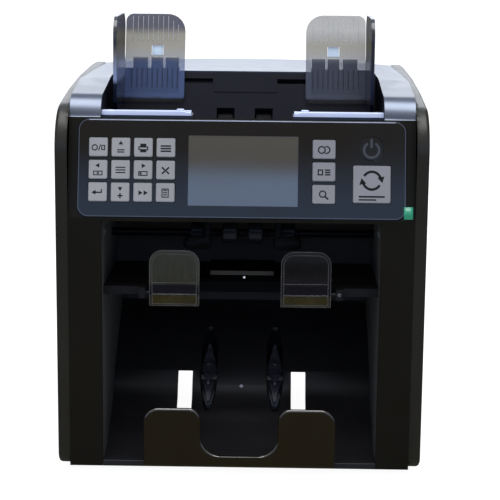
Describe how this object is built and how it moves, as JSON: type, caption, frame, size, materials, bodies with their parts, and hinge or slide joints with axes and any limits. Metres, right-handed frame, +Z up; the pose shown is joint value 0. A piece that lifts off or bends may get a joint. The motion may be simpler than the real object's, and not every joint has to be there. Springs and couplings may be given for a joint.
{
  "type": "banknote counting machine",
  "caption": "Desktop note counter: sloping key panel with screen, top hopper with sliding clear guides, flapped upper pocket and lower stacker pocket with fan wheels.",
  "frame": {"origin": "on the table, under the middle of the machine's box", "axes": "+Z up, -Y is the front with the panel, +X to the operator's right"},
  "size_m": [0.272, 0.284, 0.338],
  "materials": {
    "black_case": "fine satin grain",
    "grey_lining": "satin",
    "gloss_fascia": "gloss",
    "screen": "gloss",
    "steel_plate": "brushed",
    "silver_trim": "gloss",
    "key_grey": "satin",
    "key_black": "gloss",
    "clear_plastic": "clear",
    "circuit": "satin",
    "rubber_foot": "matte",
    "roller_rubber": "matte",
    "fan_plastic": "satin",
    "motor_steel": "satin",
    "alu_case": "satin",
    "white_gear": "satin",
    "belt_rubber": "matte",
    "red_rocker": "gloss"
  },
  "bodies": {
    "housing": {"base_tray": "black_case", "feet": "rubber_foot", "front_frame": "black_case", "left_side_cover": "black_case", "right_side_cover": "black_case", "top_cover": "black_case", "hopper_front_lip": "silver_trim", "hopper_floor": "black_case", "hopper_back_plate": "black_case", "panel_fascia": "gloss_fascia", "lcd_glass": "screen", "lcd_module": "steel_plate", "key_boards": "circuit", "frame_plates": "steel_plate", "pocket_liners": "grey_lining", "reject_shelf": "black_case", "reject_back_wall": "grey_lining", "stacker_housing": "black_case", "stacker_front_plate": "black_case", "image_sensors": "black_case", "main_motor": "motor_steel", "stacker_motor": "motor_steel", "drive_belts": "belt_rubber", "main_board": "circuit", "power_supply": "alu_case", "power_inlet": "black_case", "screws": "steel_plate", "exit_pressers": "black_case"},
    "left_guide": {"left_guide": "black_case", "left_guide_window": "clear_plastic"},
    "right_guide": {"right_guide": "black_case", "right_guide_window": "clear_plastic"},
    "guide_pinion": {"guide_pinion": "white_gear"},
    "pickup_shaft": {"pickup_shaft": "roller_rubber"},
    "feed_shaft": {"feed_shaft": "roller_rubber"},
    "transport_shaft": {"transport_shaft": "roller_rubber"},
    "exit_shaft": {"exit_shaft": "roller_rubber"},
    "stacker_shaft": {"stacker_shaft": "fan_plastic"},
    "diverter": {"diverter": "black_case"},
    "left_flap": {"left_flap": "clear_plastic"},
    "right_flap": {"right_flap": "clear_plastic"},
    "rear_cover": {"rear_cover": "black_case"},
    "power_rocker": {"power_rocker": "red_rocker"},
    "mode_key_1": {"mode_key_1": "key_grey"},
    "mode_key_2": {"mode_key_2": "key_grey"},
    "mode_key_3": {"mode_key_3": "key_grey"},
    "power_key": {"power_key": "key_black"},
    "restart_key": {"restart_key": "key_grey"},
    "key_1": {"key_1": "key_grey"},
    "key_2": {"key_2": "key_grey"},
    "key_3": {"key_3": "key_grey"},
    "key_4": {"key_4": "key_grey"},
    "key_5": {"key_5": "key_grey"},
    "key_6": {"key_6": "key_grey"},
    "key_7": {"key_7": "key_grey"},
    "key_8": {"key_8": "key_grey"},
    "key_9": {"key_9": "key_grey"},
    "key_10": {"key_10": "key_grey"},
    "key_11": {"key_11": "key_grey"},
    "key_12": {"key_12": "key_grey"}
  },
  "joints": [
    {"name": "left_guide_slide", "type": "slide", "parent": "housing", "child": "left_guide", "axis": [1, 0, 0], "range_m": [0, 0.0375]},
    {"name": "right_guide_slide", "type": "slide", "parent": "housing", "child": "right_guide", "axis": [-1, 0, 0], "range_m": [0, 0.0375]},
    {"name": "guide_pinion_spin", "type": "hinge", "parent": "housing", "child": "guide_pinion", "pos_m": [0, -0.01525, 0.27285], "axis": [0, 0.9438, -0.3305], "range_deg": [0, 270]},
    {"name": "pickup_shaft_spin", "type": "hinge", "parent": "housing", "child": "pickup_shaft", "pos_m": [0, -0.0199, 0.246], "axis": [1, 0, 0], "continuous": true},
    {"name": "feed_shaft_spin", "type": "hinge", "parent": "housing", "child": "feed_shaft", "pos_m": [0, -0.032, 0.203], "axis": [1, 0, 0], "continuous": true},
    {"name": "transport_shaft_spin", "type": "hinge", "parent": "housing", "child": "transport_shaft", "pos_m": [0, 0.005, 0.168], "axis": [1, 0, 0], "continuous": true},
    {"name": "exit_shaft_spin", "type": "hinge", "parent": "housing", "child": "exit_shaft", "pos_m": [0, -0.058, 0.17], "axis": [1, 0, 0], "continuous": true},
    {"name": "stacker_shaft_spin", "type": "hinge", "parent": "housing", "child": "stacker_shaft", "pos_m": [0, -0.0345, 0.043], "axis": [1, 0, 0], "continuous": true},
    {"name": "diverter_swing", "type": "hinge", "parent": "housing", "child": "diverter", "pos_m": [0, 0.005, 0.134], "axis": [1, 0, 0], "range_deg": [0, 12], "stiffness_Nm_per_rad": 0.02},
    {"name": "left_flap_fold", "type": "hinge", "parent": "housing", "child": "left_flap", "pos_m": [0, -0.129, 0.1365], "axis": [1, 0, 0], "range_deg": [0, 75]},
    {"name": "right_flap_fold", "type": "hinge", "parent": "housing", "child": "right_flap", "pos_m": [0, -0.129, 0.1365], "axis": [1, 0, 0], "range_deg": [0, 75]},
    {"name": "rear_cover_hinge", "type": "hinge", "parent": "housing", "child": "rear_cover", "pos_m": [0, 0.132, 0.064], "axis": [-1, 0, 0], "range_deg": [0, 80]},
    {"name": "power_rocker_tilt", "type": "hinge", "parent": "housing", "child": "power_rocker", "pos_m": [-0.0745, 0.1325, 0.029], "axis": [1, 0, 0], "range_deg": [0, 14]},
    {"name": "mode_key_1_press", "type": "slide", "parent": "housing", "child": "mode_key_1", "axis": [0, 0.9697, -0.2441], "range_m": [0, 0.001], "stiffness_N_per_m": 600},
    {"name": "mode_key_2_press", "type": "slide", "parent": "housing", "child": "mode_key_2", "axis": [0, 0.9697, -0.2441], "range_m": [0, 0.001], "stiffness_N_per_m": 600},
    {"name": "mode_key_3_press", "type": "slide", "parent": "housing", "child": "mode_key_3", "axis": [0, 0.9697, -0.2441], "range_m": [0, 0.001], "stiffness_N_per_m": 600},
    {"name": "power_key_press", "type": "slide", "parent": "housing", "child": "power_key", "axis": [0, 0.9697, -0.2441], "range_m": [0, 0.001], "stiffness_N_per_m": 600},
    {"name": "restart_key_press", "type": "slide", "parent": "housing", "child": "restart_key", "axis": [0, 0.9697, -0.2441], "range_m": [0, 0.001], "stiffness_N_per_m": 600},
    {"name": "key_1_press", "type": "slide", "parent": "housing", "child": "key_1", "axis": [0, 0.9697, -0.2441], "range_m": [0, 0.001], "stiffness_N_per_m": 600},
    {"name": "key_2_press", "type": "slide", "parent": "housing", "child": "key_2", "axis": [0, 0.9697, -0.2441], "range_m": [0, 0.001], "stiffness_N_per_m": 600},
    {"name": "key_3_press", "type": "slide", "parent": "housing", "child": "key_3", "axis": [0, 0.9697, -0.2441], "range_m": [0, 0.001], "stiffness_N_per_m": 600},
    {"name": "key_4_press", "type": "slide", "parent": "housing", "child": "key_4", "axis": [0, 0.9697, -0.2441], "range_m": [0, 0.001], "stiffness_N_per_m": 600},
    {"name": "key_5_press", "type": "slide", "parent": "housing", "child": "key_5", "axis": [0, 0.9697, -0.2441], "range_m": [0, 0.001], "stiffness_N_per_m": 600},
    {"name": "key_6_press", "type": "slide", "parent": "housing", "child": "key_6", "axis": [0, 0.9697, -0.2441], "range_m": [0, 0.001], "stiffness_N_per_m": 600},
    {"name": "key_7_press", "type": "slide", "parent": "housing", "child": "key_7", "axis": [0, 0.9697, -0.2441], "range_m": [0, 0.001], "stiffness_N_per_m": 600},
    {"name": "key_8_press", "type": "slide", "parent": "housing", "child": "key_8", "axis": [0, 0.9697, -0.2441], "range_m": [0, 0.001], "stiffness_N_per_m": 600},
    {"name": "key_9_press", "type": "slide", "parent": "housing", "child": "key_9", "axis": [0, 0.9697, -0.2441], "range_m": [0, 0.001], "stiffness_N_per_m": 600},
    {"name": "key_10_press", "type": "slide", "parent": "housing", "child": "key_10", "axis": [0, 0.9697, -0.2441], "range_m": [0, 0.001], "stiffness_N_per_m": 600},
    {"name": "key_11_press", "type": "slide", "parent": "housing", "child": "key_11", "axis": [0, 0.9697, -0.2441], "range_m": [0, 0.001], "stiffness_N_per_m": 600},
    {"name": "key_12_press", "type": "slide", "parent": "housing", "child": "key_12", "axis": [0, 0.9697, -0.2441], "range_m": [0, 0.001], "stiffness_N_per_m": 600}
  ],
  "couplings": [
    {"joint": "right_guide_slide", "follows": "left_guide_slide", "ratio": 1},
    {"joint": "guide_pinion_spin", "follows": "left_guide_slide", "rad_per_m": 125},
    {"joint": "pickup_shaft_spin", "follows": "feed_shaft_spin", "ratio": 1},
    {"joint": "transport_shaft_spin", "follows": "feed_shaft_spin", "ratio": 1.2857},
    {"joint": "exit_shaft_spin", "follows": "feed_shaft_spin", "ratio": 1.2857}
  ]
}
